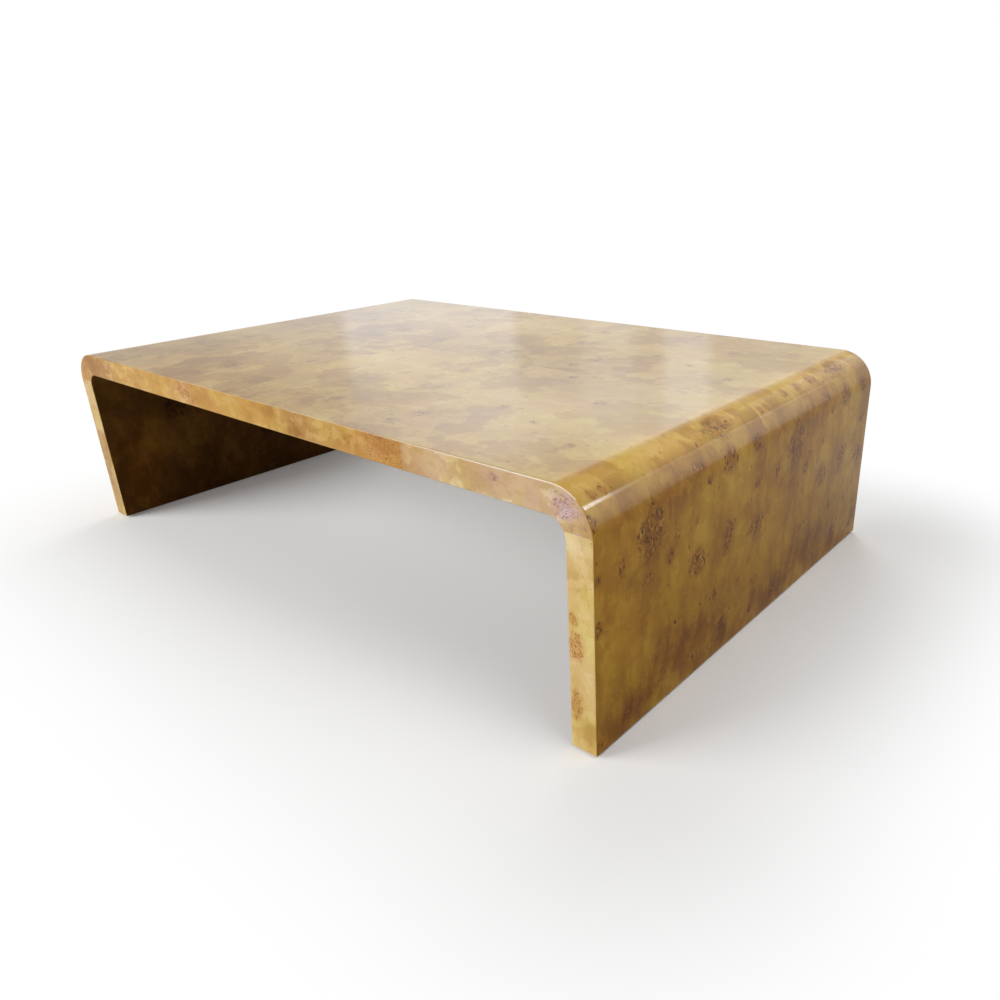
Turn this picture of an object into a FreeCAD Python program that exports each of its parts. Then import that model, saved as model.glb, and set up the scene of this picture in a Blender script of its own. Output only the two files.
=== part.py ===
import FreeCAD, Part
import os
import re

import Sketcher

# Waterfall coffee table: a veneered hollow-core slab that runs up one leg, over the top and down the other.
# Millimetres. X along the length, Y front (-) to rear (+), Z up, origin on the floor under the middle.

sizes = {
    # the slab as seen
    "table_length": 1524.0,
    "table_depth": 965.0,
    "slab_height": 406.0,       # leg ends to table top
    "slab_thickness": 47.0,
    "outer_radius": 70.0,
    "inner_radius": 30.0,
    # veneer and its joints
    "veneer_thickness": 0.9,
    "edge_joint_left": 297.0,   # front edge joints, from the middle of the table
    "edge_joint_right": 396.0,
    "edge_joint_below": 16.0,   # leg strips start this far under the underside
    # hollow core
    "skin_thickness": 9.0,
    "rail_width": 45.0,
    "end_rail_width": 60.0,
    "foot_rail_width": 50.0,
    "rib_width": 18.0,
    "tongue_length": 10.0,
    "tongue_thickness": 9.0,
    "groove_room": 1.0,         # left for glue at the bottom of a groove
    # corner joints
    "corner_land": 8.0,         # straight stretch of the block past its curves
    "spline_thickness": 6.0,
    "spline_width": 24.0,
    # glides
    "glide_diameter": 24.0,
    "glide_height": 4.0,
    "glide_bevel": 1.5,         # slope of the rim that meets the floor
    "glide_inset": 60.0,
    "nail_diameter": 2.6,
    "nail_length": 18.0,
    "nail_point": 4.0,
    "nail_head_diameter": 8.0,
    "nail_head_thickness": 1.2,
    "nail_cover": 1.6,          # plastic under the nail's head
    # how far a cutting block runs past what it cuts
    "overrun": 5.0,
}

top_rib_count = 4

layout = {
    "half_length": "table_length / 2",
    "half_depth": "table_depth / 2",
    "top_face": "glide_height + slab_height",
    "under_face": "top_face - slab_thickness",
    "core_half_depth": "half_depth - veneer_thickness",
    "frame_inset": "veneer_thickness + skin_thickness",
    "frame_thickness": "slab_thickness - 2 * frame_inset",
    "clear_half": "core_half_depth - rail_width",
    "groove_depth": "tongue_length + groove_room",
    "spline_groove": "spline_width / 2 + groove_room",
    "corner_reach": "max(outer_radius; slab_thickness + inner_radius) + corner_land",
    "top_half": "half_length - corner_reach",
    "leg_head": "top_face - corner_reach",
    "leg_length": "slab_height - corner_reach",
    "leg_middle": "half_length - slab_thickness / 2",
    "slab_middle": "top_face - slab_thickness / 2",
    "core_outer_radius": "outer_radius - veneer_thickness",
    "core_cove_radius": "inner_radius + veneer_thickness",
    "edge_joint_height": "under_face - edge_joint_below",
}

doc = FreeCAD.newDocument("waterfall_table")
finished = []


def cell_references(expression):
    """Write each plain name in an expression as a reference to its sheet's cell."""
    def reference(match):
        name = match.group(0)
        if name in sizes:
            return "Sizes." + name
        if name in layout:
            return "Layout." + name
        return name
    return re.sub(r"[a-z_]{3,}", reference, expression)


def fill_sheet(name, rows):
    """Make a sheet with one named cell a row."""
    sheet = doc.addObject("Spreadsheet::Sheet", name)
    for row, (alias, text) in enumerate(rows.items(), start=1):
        sheet.set(f"A{row}", alias)
        sheet.set(f"B{row}", text)
        sheet.setAlias(f"B{row}", alias)
    doc.recompute()
    return sheet


fill_sheet("Sizes", {name: str(size) for name, size in sizes.items()})
layout_sheet = fill_sheet("Layout", {name: "=" + cell_references(rule) for name, rule in layout.items()})


def size_of(expression):
    """The present value of an expression in named sizes."""
    return float(layout_sheet.evalExpression(cell_references(expression)))


def bind(feature, name, expression):
    feature.setExpression(name, cell_references(expression))


def place(feature, x="0", y="0", z="0"):
    bind(feature, "Placement.Base.x", x)
    bind(feature, "Placement.Base.y", y)
    bind(feature, "Placement.Base.z", z)


def finish_piece(feature, label):
    """Name a finished piece, so that it is checked and written out."""
    feature.Label = label
    finished.append(feature)
    return feature


def board(name, x, y, z):
    """A square board between two named limits along each axis."""
    box = doc.addObject("Part::Box", name)
    for side, (low, high) in (("Length", x), ("Width", y), ("Height", z)):
        bind(box, side, f"({high}) - ({low})")
    place(box, x[0], y[0], z[0])
    return box


def cut(name, base, tool):
    feature = doc.addObject("Part::Cut", name)
    feature.Base = base
    feature.Tool = tool
    return feature


def common(name, base, tool):
    feature = doc.addObject("Part::Common", name)
    feature.Base = base
    feature.Tool = tool
    return feature


def new_sketch(body, plane):
    sketch = body.newObject("Sketcher::SketchObject", body.Name + "_sketch")
    support = next(part for part in body.Origin.OriginFeatures if part.Role == plane)
    sketch.AttachmentSupport = [(support, "")]
    sketch.MapMode = "FlatFace"
    return sketch


def measure(sketch, kind, geometry, point, expression):
    """Hold a sketch point at a signed distance from the sketch's origin."""
    value = size_of(expression)
    index = sketch.addConstraint(Sketcher.Constraint(kind, -1, 1, geometry, point, value))
    bind(sketch, f"Constraints[{index}]", expression)


def straight_outline(sketch, corners):
    """Close an outline through corners, each given by two expressions."""
    points = [FreeCAD.Vector(size_of(across), size_of(up), 0) for across, up in corners]
    sides = []
    for start, end in zip(points, points[1:] + points[:1]):
        sides.append(sketch.addGeometry(Part.LineSegment(start, end), False))
    for side, following in zip(sides, sides[1:] + sides[:1]):
        sketch.addConstraint(Sketcher.Constraint("Coincident", side, 2, following, 1))
    for side, (across, up) in zip(sides, corners):
        measure(sketch, "DistanceX", side, 1, across)
        measure(sketch, "DistanceY", side, 1, up)


def arch_run(sketch, inset, radius):
    """One line of the waterfall: up the left leg, round, along the top, round and down the right leg."""
    side = f"half_length - ({inset})"
    crown = f"slab_height - ({inset})"
    x, z, r = size_of(side), size_of(crown), size_of(radius)
    left = sketch.addGeometry(Part.LineSegment(FreeCAD.Vector(-x, 0), FreeCAD.Vector(-x, z - r)), False)
    round_left = sketch.addGeometry(arc_through(-x + r, z - r, r, (-1, 0), (0, 1)), False)
    top = sketch.addGeometry(Part.LineSegment(FreeCAD.Vector(-x + r, z), FreeCAD.Vector(x - r, z)), False)
    round_right = sketch.addGeometry(arc_through(x - r, z - r, r, (0, 1), (1, 0)), False)
    right = sketch.addGeometry(Part.LineSegment(FreeCAD.Vector(x, z - r), FreeCAD.Vector(x, 0)), False)
    # an arc runs anticlockwise, so its second end meets the line before it
    for before, arc, after in ((left, round_left, top), (top, round_right, right)):
        sketch.addConstraint(Sketcher.Constraint("Tangent", before, 2, arc, 2))
        sketch.addConstraint(Sketcher.Constraint("Tangent", arc, 1, after, 1))
        index = sketch.addConstraint(Sketcher.Constraint("Radius", arc, r))
        bind(sketch, f"Constraints[{index}]", radius)
    for leg in (left, right):
        sketch.addConstraint(Sketcher.Constraint("Vertical", leg))
    sketch.addConstraint(Sketcher.Constraint("Horizontal", top))
    measure(sketch, "DistanceX", left, 1, f"-({side})")
    measure(sketch, "DistanceX", right, 2, side)
    measure(sketch, "DistanceY", top, 1, crown)
    measure(sketch, "DistanceY", left, 1, "0")
    measure(sketch, "DistanceY", right, 2, "0")
    return left, right


def arc_through(x, z, radius, start, end):
    """A quarter round about a centre, between two unit directions."""
    middle = FreeCAD.Vector(start[0] + end[0], start[1] + end[1], 0).normalize()
    centre = FreeCAD.Vector(x, z, 0)
    directions = (FreeCAD.Vector(*start, 0), middle, FreeCAD.Vector(*end, 0))
    return Part.Arc(*(centre + direction * radius for direction in directions))


def waterfall_stock(name, outer_line, inner_line, depth, y="0"):
    """A sheet or slab bent to the whole waterfall, between two lines of inset and radius."""
    body = doc.addObject("PartDesign::Body", name)
    sketch = new_sketch(body, "XZ_Plane")
    outer_left, outer_right = arch_run(sketch, *outer_line)
    inner_left, inner_right = arch_run(sketch, *inner_line)
    for outer, inner, end in ((outer_left, inner_left, 1), (outer_right, inner_right, 2)):
        line = Part.LineSegment(sketch.getPoint(outer, end), sketch.getPoint(inner, end))
        foot = sketch.addGeometry(line, False)
        sketch.addConstraint(Sketcher.Constraint("Coincident", foot, 1, outer, end))
        sketch.addConstraint(Sketcher.Constraint("Coincident", foot, 2, inner, end))
    pad = body.newObject("PartDesign::Pad", name + "_pad")
    pad.Profile = sketch
    pad.SideType = "Symmetric"
    bind(pad, "Length", depth)
    place(body, y=y, z="glide_height")
    return body


def section_piece(name, plane, corners, length, symmetric=False, x="0", y="0", z="0"):
    """A straight section carried along the normal of its plane."""
    body = doc.addObject("PartDesign::Body", name)
    sketch = new_sketch(body, plane)
    straight_outline(sketch, corners)
    pad = body.newObject("PartDesign::Pad", name + "_pad")
    pad.Profile = sketch
    if symmetric:
        pad.SideType = "Symmetric"
    bind(pad, "Length", length)
    place(body, x, y, z)
    return body


def turned_piece(name, corners, x, y, z):
    """An outline of radius and height turned about its own upright axis."""
    body = doc.addObject("PartDesign::Body", name)
    sketch = new_sketch(body, "XZ_Plane")
    straight_outline(sketch, corners)
    turn = body.newObject("PartDesign::Revolution", name + "_turn")
    turn.Profile = sketch
    turn.ReferenceAxis = (sketch, ["V_Axis"])
    place(body, x, y, z)
    return body


# Lines of the waterfall: how far in from the finished outside, and the radius of its rounds
outside_line = ("0", "outer_radius")
core_outside_line = ("veneer_thickness", "core_outer_radius")
core_inside_line = ("slab_thickness - veneer_thickness", "core_cove_radius")
inside_line = ("slab_thickness", "inner_radius")

whole_depth = ("-half_depth - overrun", "half_depth + overrun")
whole_length = ("-half_length - overrun", "half_length + overrun")


def outer_leaves():
    """Four burl leaves, each from one foot over the round to the middle of the top."""
    stock = waterfall_stock("outer_stock", outside_line, core_outside_line, "table_depth")
    halves_x = {"left": (whole_length[0], "0"), "right": ("0", whole_length[1])}
    halves_y = {"front": (whole_depth[0], "0"), "rear": ("0", whole_depth[1])}
    for depth_name, y in halves_y.items():
        for side_name, x in halves_x.items():
            name = f"{depth_name}_{side_name}_leaf"
            knife = board(name + "_knife", x, y, ("-overrun", "top_face + overrun"))
            finish_piece(common(name + "_cut", stock, knife), name)


def inner_veneers():
    """Dark veneer under the top and, in one bent sheet each, up the legs and round the coves."""
    stock = waterfall_stock("inner_stock", core_inside_line, inside_line, "table_depth")
    cove = "half_length - slab_thickness - inner_radius"
    pieces = {
        "left_inner_veneer": (whole_length[0], f"-({cove})"),
        "underside_veneer": (f"-({cove})", cove),
        "right_inner_veneer": (cove, whole_length[1]),
    }
    for name, x in pieces.items():
        knife = board(name + "_knife", x, whole_depth, ("-overrun", "top_face + overrun"))
        finish_piece(common(name + "_cut", stock, knife), name)


def edge_strips(face, y, left_joint, right_joint):
    """Five strips of veneer on one long edge: two legs, two corners and the middle."""
    stock = waterfall_stock(face + "_edge_stock", core_outside_line, core_inside_line, "veneer_thickness", y)
    under = ("-overrun", "edge_joint_height")
    over = ("edge_joint_height", "top_face + overrun")
    pieces = {
        "left_leg": ((whole_length[0], "0"), under),
        "left_corner": ((whole_length[0], f"-{left_joint}"), over),
        "middle": ((f"-{left_joint}", right_joint), over),
        "right_corner": ((right_joint, whole_length[1]), over),
        "right_leg": (("0", whole_length[1]), under),
    }
    for place_name, (x, z) in pieces.items():
        name = f"{face}_{place_name}_strip"
        knife = board(name + "_knife", x, whole_depth, z)
        finish_piece(common(name + "_cut", stock, knife), name)


def frame_section(low, outer_sign):
    """Section of a long rail or stile: a board with a tongue groove along its inner edge."""
    outer = f"{outer_sign}core_half_depth"
    inner = f"{outer_sign}clear_half"
    groove_end = f"{outer_sign}(clear_half + groove_depth)"
    high = f"{low} + frame_thickness"
    groove_low = f"{low} + (frame_thickness - tongue_thickness) / 2"
    groove_high = f"{groove_low} + tongue_thickness"
    return [
        (outer, low), (inner, low), (inner, groove_low), (groove_end, groove_low),
        (groove_end, groove_high), (inner, groove_high), (inner, high), (outer, high),
    ]


def tongued_section(low):
    """Side of a cross member: a board with a stub tongue at both ends."""
    high = f"{low} + frame_thickness"
    tongue_low = f"{low} + (frame_thickness - tongue_thickness) / 2"
    tongue_high = f"{tongue_low} + tongue_thickness"
    tip = "clear_half + tongue_length"
    front = [
        ("-clear_half", low), ("-clear_half", tongue_low), (f"-({tip})", tongue_low),
        (f"-({tip})", tongue_high), ("-clear_half", tongue_high), ("-clear_half", high),
    ]
    rear = [
        ("clear_half", high), ("clear_half", tongue_high), (tip, tongue_high),
        (tip, tongue_low), ("clear_half", tongue_low), ("clear_half", low),
    ]
    return front + rear


def turned_over(corners):
    """Swap an outline's two directions."""
    return [(up, across) for across, up in corners]


def top_panel():
    """Framed top between the corner blocks: skins, long rails, end rails and ribs."""
    run = ("-top_half", "top_half")
    core_depth = ("-core_half_depth", "core_half_depth")
    upper = board("top_upper", run, core_depth, ("top_face - frame_inset", "top_face - veneer_thickness"))
    finish_piece(upper, "top_upper_skin")
    lower = board("top_lower", run, core_depth, ("under_face + veneer_thickness", "under_face + frame_inset"))
    finish_piece(lower, "top_lower_skin")

    low = "under_face + frame_inset"
    for face, sign in (("front", "-"), ("rear", "")):
        name = f"top_{face}_rail"
        section = frame_section(low, sign)
        rail = section_piece(name + "_body", "YZ_Plane", section, "2 * top_half", symmetric=True)
        finish_piece(rail, name)

    bay_half = "(top_half - end_rail_width)"
    for side, start in (("left", "-top_half"), ("right", "top_half - end_rail_width")):
        name = f"top_{side}_end_rail"
        rail = section_piece(name + "_body", "YZ_Plane", tongued_section(low), "end_rail_width", x=start)
        finish_piece(cut(name + "_grooved", rail, top_spline_groove(side, "rail")), name)
    for number in range(1, top_rib_count + 1):
        name = f"top_rib_{number}"
        middle = f"-{bay_half} + {number} * 2 * {bay_half} / {top_rib_count + 1}"
        rib = section_piece(
            name + "_body", "YZ_Plane", tongued_section(low), "rib_width", x=f"{middle} - rib_width / 2")
        finish_piece(rib, name)


def top_spline_groove(side, owner):
    """Stopped groove for the spline between the top and a corner block, in one of the two."""
    inward = "top_half - spline_groove", "top_half + overrun"
    outward = "top_half - overrun", "top_half + spline_groove"
    low, high = inward if owner == "rail" else outward
    x = (low, high) if side == "right" else (f"-({high})", f"-({low})")
    z = ("slab_middle - spline_thickness / 2", "slab_middle + spline_thickness / 2")
    return board(f"top_{side}_{owner}_groove", x, ("-clear_half", "clear_half"), z)


def leg_spline_groove(side, owner):
    """Stopped groove for the spline between a leg and its corner block, in one of the two."""
    downward = "leg_head - spline_groove", "leg_head + overrun"
    upward = "leg_head - overrun", "leg_head + spline_groove"
    z = downward if owner == "rail" else upward
    low, high = "leg_middle - spline_thickness / 2", "leg_middle + spline_thickness / 2"
    x = (low, high) if side == "right" else (f"-({high})", f"-({low})")
    return board(f"leg_{side}_{owner}_groove", x, ("-clear_half", "clear_half"), z)


def splines():
    """Plywood tongues glued into the grooves of blocks, top and legs."""
    half_width, half_thickness = "spline_width / 2", "spline_thickness / 2"
    clear = ("-clear_half", "clear_half")
    for side, sign in (("left", "-"), ("right", "")):
        joint, middle = f"{sign}top_half", f"{sign}leg_middle"
        flat_x = (f"{joint} - {half_width}", f"{joint} + {half_width}")
        flat_z = (f"slab_middle - {half_thickness}", f"slab_middle + {half_thickness}")
        finish_piece(board(f"top_{side}_tongue", flat_x, clear, flat_z), f"top_{side}_spline")
        upright_x = (f"{middle} - {half_thickness}", f"{middle} + {half_thickness}")
        upright_z = (f"leg_head - {half_width}", f"leg_head + {half_width}")
        finish_piece(board(f"leg_{side}_tongue", upright_x, clear, upright_z), f"{side}_leg_spline")


def corner_blocks():
    """Solid blocks that turn the slab through the corner: round outside, coved inside, grooved twice."""
    stock = waterfall_stock("corner_stock", core_outside_line, core_inside_line, "2 * core_half_depth")
    z = ("leg_head", "top_face + overrun")
    for side, x in (("left", (whole_length[0], "-top_half")), ("right", ("top_half", whole_length[1]))):
        name = f"{side}_corner_block"
        block = common(name + "_sawn", stock, board(name + "_knife", x, whole_depth, z))
        block = cut(name + "_top_grooved", block, top_spline_groove(side, "block"))
        block = cut(name + "_grooved", block, leg_spline_groove(side, "block"))
        finish_piece(block, name)


def leg_panel(side, nails):
    """Framed leg under a corner block: skins, stiles, head rail, middle rib and nailed foot rail."""
    z = ("glide_height", "leg_head")
    core_depth = ("-core_half_depth", "core_half_depth")

    def across(near, far):
        """Limits along X between two insets from the leg's outer face."""
        if side == "left":
            return f"-half_length + {near}", f"-half_length + {far}"
        return f"half_length - ({far})", f"half_length - ({near})"

    outer = across("veneer_thickness", "frame_inset")
    inner = across("slab_thickness - frame_inset", "slab_thickness - veneer_thickness")
    finish_piece(board(f"{side}_outer", outer, core_depth, z), f"{side}_leg_outer_skin")
    finish_piece(board(f"{side}_inner", inner, core_depth, z), f"{side}_leg_inner_skin")

    low = across("frame_inset", "slab_thickness - frame_inset")[0]
    for face, sign in (("front", "-"), ("rear", "")):
        name = f"{side}_leg_{face}_stile"
        section = turned_over(frame_section(low, sign))
        finish_piece(section_piece(name + "_body", "XY_Plane", section, "leg_length", z="glide_height"), name)

    def cross_member(name, width, start):
        section = turned_over(tongued_section(low))
        return section_piece(name + "_body", "XY_Plane", section, width, z=start)

    name = f"{side}_leg_head_rail"
    rail = cross_member(name, "end_rail_width", "leg_head - end_rail_width")
    finish_piece(cut(name + "_grooved", rail, leg_spline_groove(side, "rail")), name)

    name = f"{side}_leg_rib"
    bay_middle = "(glide_height + foot_rail_width + leg_head - end_rail_width) / 2"
    finish_piece(cross_member(name, "rib_width", f"{bay_middle} - rib_width / 2"), name)

    name = f"{side}_leg_foot_rail"
    rail = cross_member(name, "foot_rail_width", "glide_height")
    for nail in nails:
        rail = cut(nail.Name + "_hole", rail, nail)
    finish_piece(rail, name)


def glides():
    """Nail-on glides: a bevelled plastic button moulded round a steel nail, two under each leg."""
    head_top = "nail_cover + nail_head_thickness"
    shank = "nail_diameter / 2"
    nail_outline = [
        ("0", "nail_cover"), ("nail_head_diameter / 2", "nail_cover"),
        ("nail_head_diameter / 2", head_top), (shank, head_top),
        (shank, "nail_cover + nail_length - nail_point"), ("0", "nail_cover + nail_length"),
    ]
    rim = "glide_diameter / 2"
    button_outline = [
        ("0", "0"), (f"{rim} - glide_bevel", "0"), (rim, "glide_bevel"),
        (rim, "glide_height"), ("0", "glide_height"),
    ]
    nails = {"left": [], "right": []}
    for side, x in (("left", "-leg_middle"), ("right", "leg_middle")):
        for face, y in (("front", "-(half_depth - glide_inset)"), ("rear", "half_depth - glide_inset")):
            name = f"{face}_{side}_glide"
            nail = turned_piece(name + "_nail", nail_outline, x, y, "0")
            button = turned_piece(name + "_button", button_outline, x, y, "0")
            finish_piece(cut(name + "_moulded", button, nail), name)
            nails[side].append(nail)
    group = doc.addObject("Part::Compound", "nail_group")
    group.Links = nails["left"] + nails["right"]
    finish_piece(group, "glide_nails")
    return nails


def check_document():
    """Stop if anything failed to build."""
    for feature in doc.Objects:
        if "Invalid" in feature.State or "Error" in feature.State:
            raise RuntimeError(f"{feature.Label} failed: {feature.State}")
    for piece in finished:
        if piece.Shape.isNull() or not piece.Shape.isValid() or not piece.Shape.Solids:
            raise RuntimeError(f"{piece.Label} has no sound solid")


outer_leaves()
inner_veneers()
edge_strips("front", "-(half_depth - veneer_thickness / 2)", "edge_joint_left", "edge_joint_right")
edge_strips("rear", "half_depth - veneer_thickness / 2", "edge_joint_right", "edge_joint_left")
top_panel()
corner_blocks()
splines()
glide_nails = glides()
for leg_side in ("left", "right"):
    leg_panel(leg_side, glide_nails[leg_side])

doc.recompute()
check_document()
os.makedirs("parts", exist_ok=True)
for piece in finished:
    piece.Shape.exportStep(os.path.join("parts", piece.Label + ".step"))
print(len(finished), "pieces written")
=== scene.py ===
import math

import bpy
import numpy as np
from mathutils import Matrix, Vector


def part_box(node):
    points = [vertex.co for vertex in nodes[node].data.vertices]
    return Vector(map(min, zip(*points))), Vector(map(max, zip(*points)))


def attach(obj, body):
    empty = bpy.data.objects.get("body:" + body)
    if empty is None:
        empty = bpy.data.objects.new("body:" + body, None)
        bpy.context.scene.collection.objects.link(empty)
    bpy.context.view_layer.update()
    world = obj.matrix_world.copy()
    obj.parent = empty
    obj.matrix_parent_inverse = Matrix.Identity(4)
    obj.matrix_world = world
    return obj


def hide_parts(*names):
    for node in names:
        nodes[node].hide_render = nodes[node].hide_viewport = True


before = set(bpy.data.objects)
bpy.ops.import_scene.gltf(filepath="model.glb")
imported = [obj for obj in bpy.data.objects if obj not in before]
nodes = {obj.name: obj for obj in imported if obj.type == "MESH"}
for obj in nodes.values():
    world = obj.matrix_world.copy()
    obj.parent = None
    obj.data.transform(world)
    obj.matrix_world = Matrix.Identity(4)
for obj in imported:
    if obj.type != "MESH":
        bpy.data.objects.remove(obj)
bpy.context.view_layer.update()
scene = bpy.context.scene
print("frame loaded with", len(nodes), "pieces")

# the slab's driving sizes, in metres, read from the frame
leafLow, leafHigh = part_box("front_right_leaf")
underLow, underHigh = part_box("underside_veneer")
slab = {
    "halfLength": leafHigh.x,
    "halfDepth": -leafLow.y,
    "footZ": leafLow.z,
    "topZ": leafHigh.z,
    "underZ": underLow.z,
    "veneer": underHigh.z - underLow.z,
    "outerRadius": 0.070,
    "easing": 0.0024,           # radius sanded on the arrises
    "crispAngle": 38,           # degrees past which two faces are not shaded as one
}
slab["thickness"] = slab["topZ"] - slab["underZ"]
slab["innerX"] = slab["halfLength"] - slab["thickness"]
slab["innerRadius"] = slab["innerX"] - underHigh.x
slab["legRun"] = slab["topZ"] - slab["outerRadius"] - slab["footZ"]
slab["arcRun"] = slab["outerRadius"] * math.pi / 2
slab["topRun"] = slab["halfLength"] - slab["outerRadius"]
slab["leafRun"] = slab["legRun"] + slab["arcRun"] + slab["topRun"]
millimetre = 0.001


# mesh making

def stations(*runs):
    # distances along joined runs: each run is (length, spacing), cut into equal steps near its spacing
    cuts = [np.zeros(1)]
    for length, spacing in runs:
        steps = max(1, round(length / spacing))
        cuts.append(cuts[-1][-1] + length * np.arange(1, steps + 1) / steps)
    return np.concatenate(cuts)


def signedVolume(points, triangles):
    # a sixth of the sum over triangles of corner a dotted with corner b crossed with corner c
    a, b, c = (points[triangles[:, k]] for k in range(3))
    return np.einsum("ij,ij->", a, np.cross(b, c)) / 6


def tubeMesh(name, grid):
    # a closed loop of points at every station: quads join neighbouring loops, and one face closes each end
    count, around, _ = grid.shape
    index = np.arange(count * around).reshape(count, around)
    beside = np.roll(index, -1, axis=1)
    quads = np.stack([index[:-1], beside[:-1], beside[1:], index[1:]], axis=-1).reshape(-1, 4)
    caps = [index[0, ::-1], index[-1]]
    fans = [np.stack([np.full(around - 2, cap[0]), cap[1:-1], cap[2:]], axis=-1) for cap in caps]
    triangles = np.concatenate([quads[:, [0, 1, 2]], quads[:, [0, 2, 3]], *fans])
    points = grid.reshape(-1, 3)
    if signedVolume(points, triangles) < 0:
        quads = quads[:, ::-1]
        caps = [cap[::-1] for cap in caps]
    mesh = bpy.data.meshes.new(name)
    mesh.from_pydata(points.tolist(), [], quads.tolist() + [cap.tolist() for cap in caps])
    mesh.shade_smooth()
    mesh.set_sharp_from_angle(angle=math.radians(slab["crispAngle"]))
    return mesh


def eased(inset, radius):
    # how far a face draws back beside an arris: radius less the half chord of a circle of that radius
    reach = np.clip(radius - inset, 0, radius)
    return radius - np.sqrt(radius ** 2 - reach ** 2)


def arrisRound(cuts):
    # points round an eased arris: how far out and how far in, down to where the veneer's thickness ends
    turn = np.linspace(0, math.acos(1 - slab["veneer"] / slab["easing"]), cuts)[1:]
    return slab["easing"] * np.sin(turn), slab["easing"] - slab["easing"] * np.cos(turn)


def bell(value, middle, reach):
    # 1 at the middle, falling as the exponential of minus the squared distance in reaches
    return np.exp(-((value - middle) / reach) ** 2)


def softBlobs(across, along, blobs):
    # for each blob, its strength times a bell across times a bell along; places and radii are in mm
    places = np.array(blobs, float) * ([millimetre] * 4 + [1])
    shape = (-1,) + (1,) * across.ndim
    midAcross, midAlong, wide, tall, strength = (places[:, k].reshape(shape) for k in range(5))
    return strength * bell(across, midAcross, wide) * bell(along, midAlong, tall)


def figureMarks(across, along, burls, clouds):
    # clusters where the strongest blob counts, and clouds that add up
    return softBlobs(across, along, burls).max(axis=0), softBlobs(across, along, clouds).sum(axis=0)


def setAttribute(mesh, name, values):
    # one number, or one vector, for each point of the mesh
    kind, field = ("FLOAT", "value") if values.ndim == 1 else ("FLOAT_VECTOR", "vector")
    layer = mesh.attributes.new(name, kind, "POINT")
    layer.data.foreach_set(field, values.astype(np.float32).ravel())


def dressPiece(mesh, node, material, leaf, marks, rubAndSheen):
    # the piece stands for its node, rides on the table and carries its figure, pale rubbing and painted
    # light as point attributes
    burl, cloud = marks
    setAttribute(mesh, "leaf", leaf.reshape(-1, 3))
    for name, values in (("burl", burl), ("cloud", cloud), ("rubAndSheen", rubAndSheen)):
        setAttribute(mesh, name, values.ravel())
    mesh.materials.append(material)
    piece = bpy.data.objects.new(mesh.name, mesh)
    scene.collection.objects.link(piece)
    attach(piece, "root")
    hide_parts(node)
    return piece


# node helpers for the materials

def addNode(tree, kind, inputs=(), **settings):
    # a node with its settings, its inputs linked to sockets or set to plain values
    node = tree.nodes.new(kind)
    for name, value in settings.items():
        setattr(node, name, value)
    for key, value in dict(inputs).items():
        if isinstance(value, bpy.types.NodeSocket):
            tree.links.new(value, node.inputs[key])
        else:
            node.inputs[key].default_value = value
    return node


def maths(tree, operation, a, b=0.0, clamp=False):
    # one operation on two numbers
    return addNode(tree, "ShaderNodeMath", {0: a, 1: b}, operation=operation, use_clamp=clamp).outputs[0]


def times(tree, a, b):
    # the product of two numbers
    return maths(tree, "MULTIPLY", a, b)


def plus(tree, a, b):
    # the sum of two numbers
    return maths(tree, "ADD", a, b)


def less(tree, a, b):
    # the first number less the second
    return maths(tree, "SUBTRACT", a, b)


def stepBetween(tree, value, low, high):
    # 0 at low, 1 at high and a smooth curve between them, whichever of the two is greater
    inputs = {"Value": value, "From Min": low, "From Max": high}
    return addNode(tree, "ShaderNodeMapRange", inputs, interpolation_type="SMOOTHSTEP").outputs[0]


def bandAround(tree, value, middle, inner, outer):
    # 1 where the value is within inner of the middle, 0 past outer
    return stepBetween(tree, maths(tree, "ABSOLUTE", less(tree, value, middle)), outer, inner)


def scaled(tree, vector, scale):
    # each coordinate times its own scale
    return addNode(tree, "ShaderNodeVectorMath", {0: vector, 1: scale}, operation="MULTIPLY").outputs[0]


def added(tree, vector, other):
    # the sum of two vectors
    return addNode(tree, "ShaderNodeVectorMath", {0: vector, 1: other}, operation="ADD").outputs[0]


def noise(tree, place, scale, detail=2.0, roughness=0.5, distortion=0.0):
    # the outputs of fractal noise at the place times the scale
    inputs = {"Vector": scaled(tree, place, scale), "Scale": 1.0, "Detail": detail,
              "Roughness": roughness, "Distortion": distortion}
    return addNode(tree, "ShaderNodeTexNoise", inputs).outputs


def mixValue(tree, factor, a, b):
    # a where the factor is 0, b where it is 1, and in proportion between
    return addNode(tree, "ShaderNodeMix", {0: factor, 2: a, 3: b}).outputs[0]


def mixColour(tree, factor, a, b, blend="MIX"):
    # the same for two colours
    mixed = addNode(tree, "ShaderNodeMix", {0: factor, 6: a, 7: b}, data_type="RGBA", blend_type=blend)
    return mixed.outputs[2]


def tinted(tree, factor, colour, tint):
    # the colour multiplied by the tint, as far as the factor goes
    return mixColour(tree, factor, colour, tint, "MULTIPLY")


def ramp(tree, factor, stops):
    # the colour that the stops give at the factor
    node = addNode(tree, "ShaderNodeValToRGB", {"Fac": factor})
    elements = node.color_ramp.elements
    while len(elements) < len(stops):
        elements.new(1.0)  # moved to its stop below
    for element, (position, colour) in zip(elements, stops):
        element.position = position
        element.color = (*colour, 1)
    return node.outputs["Color"]


def readAttribute(tree, name, output="Fac"):
    # what the mesh carries for each point
    return addNode(tree, "ShaderNodeAttribute", attribute_name=name).outputs[output]


def objectPlace(tree):
    # the place on the piece, in metres
    return addNode(tree, "ShaderNodeTexCoord").outputs["Object"]


def newMaterial(name):
    # an empty material and its tree
    material = bpy.data.materials.new(name)
    material.use_nodes = True
    material.node_tree.nodes.clear()
    return material, material.node_tree


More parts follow.
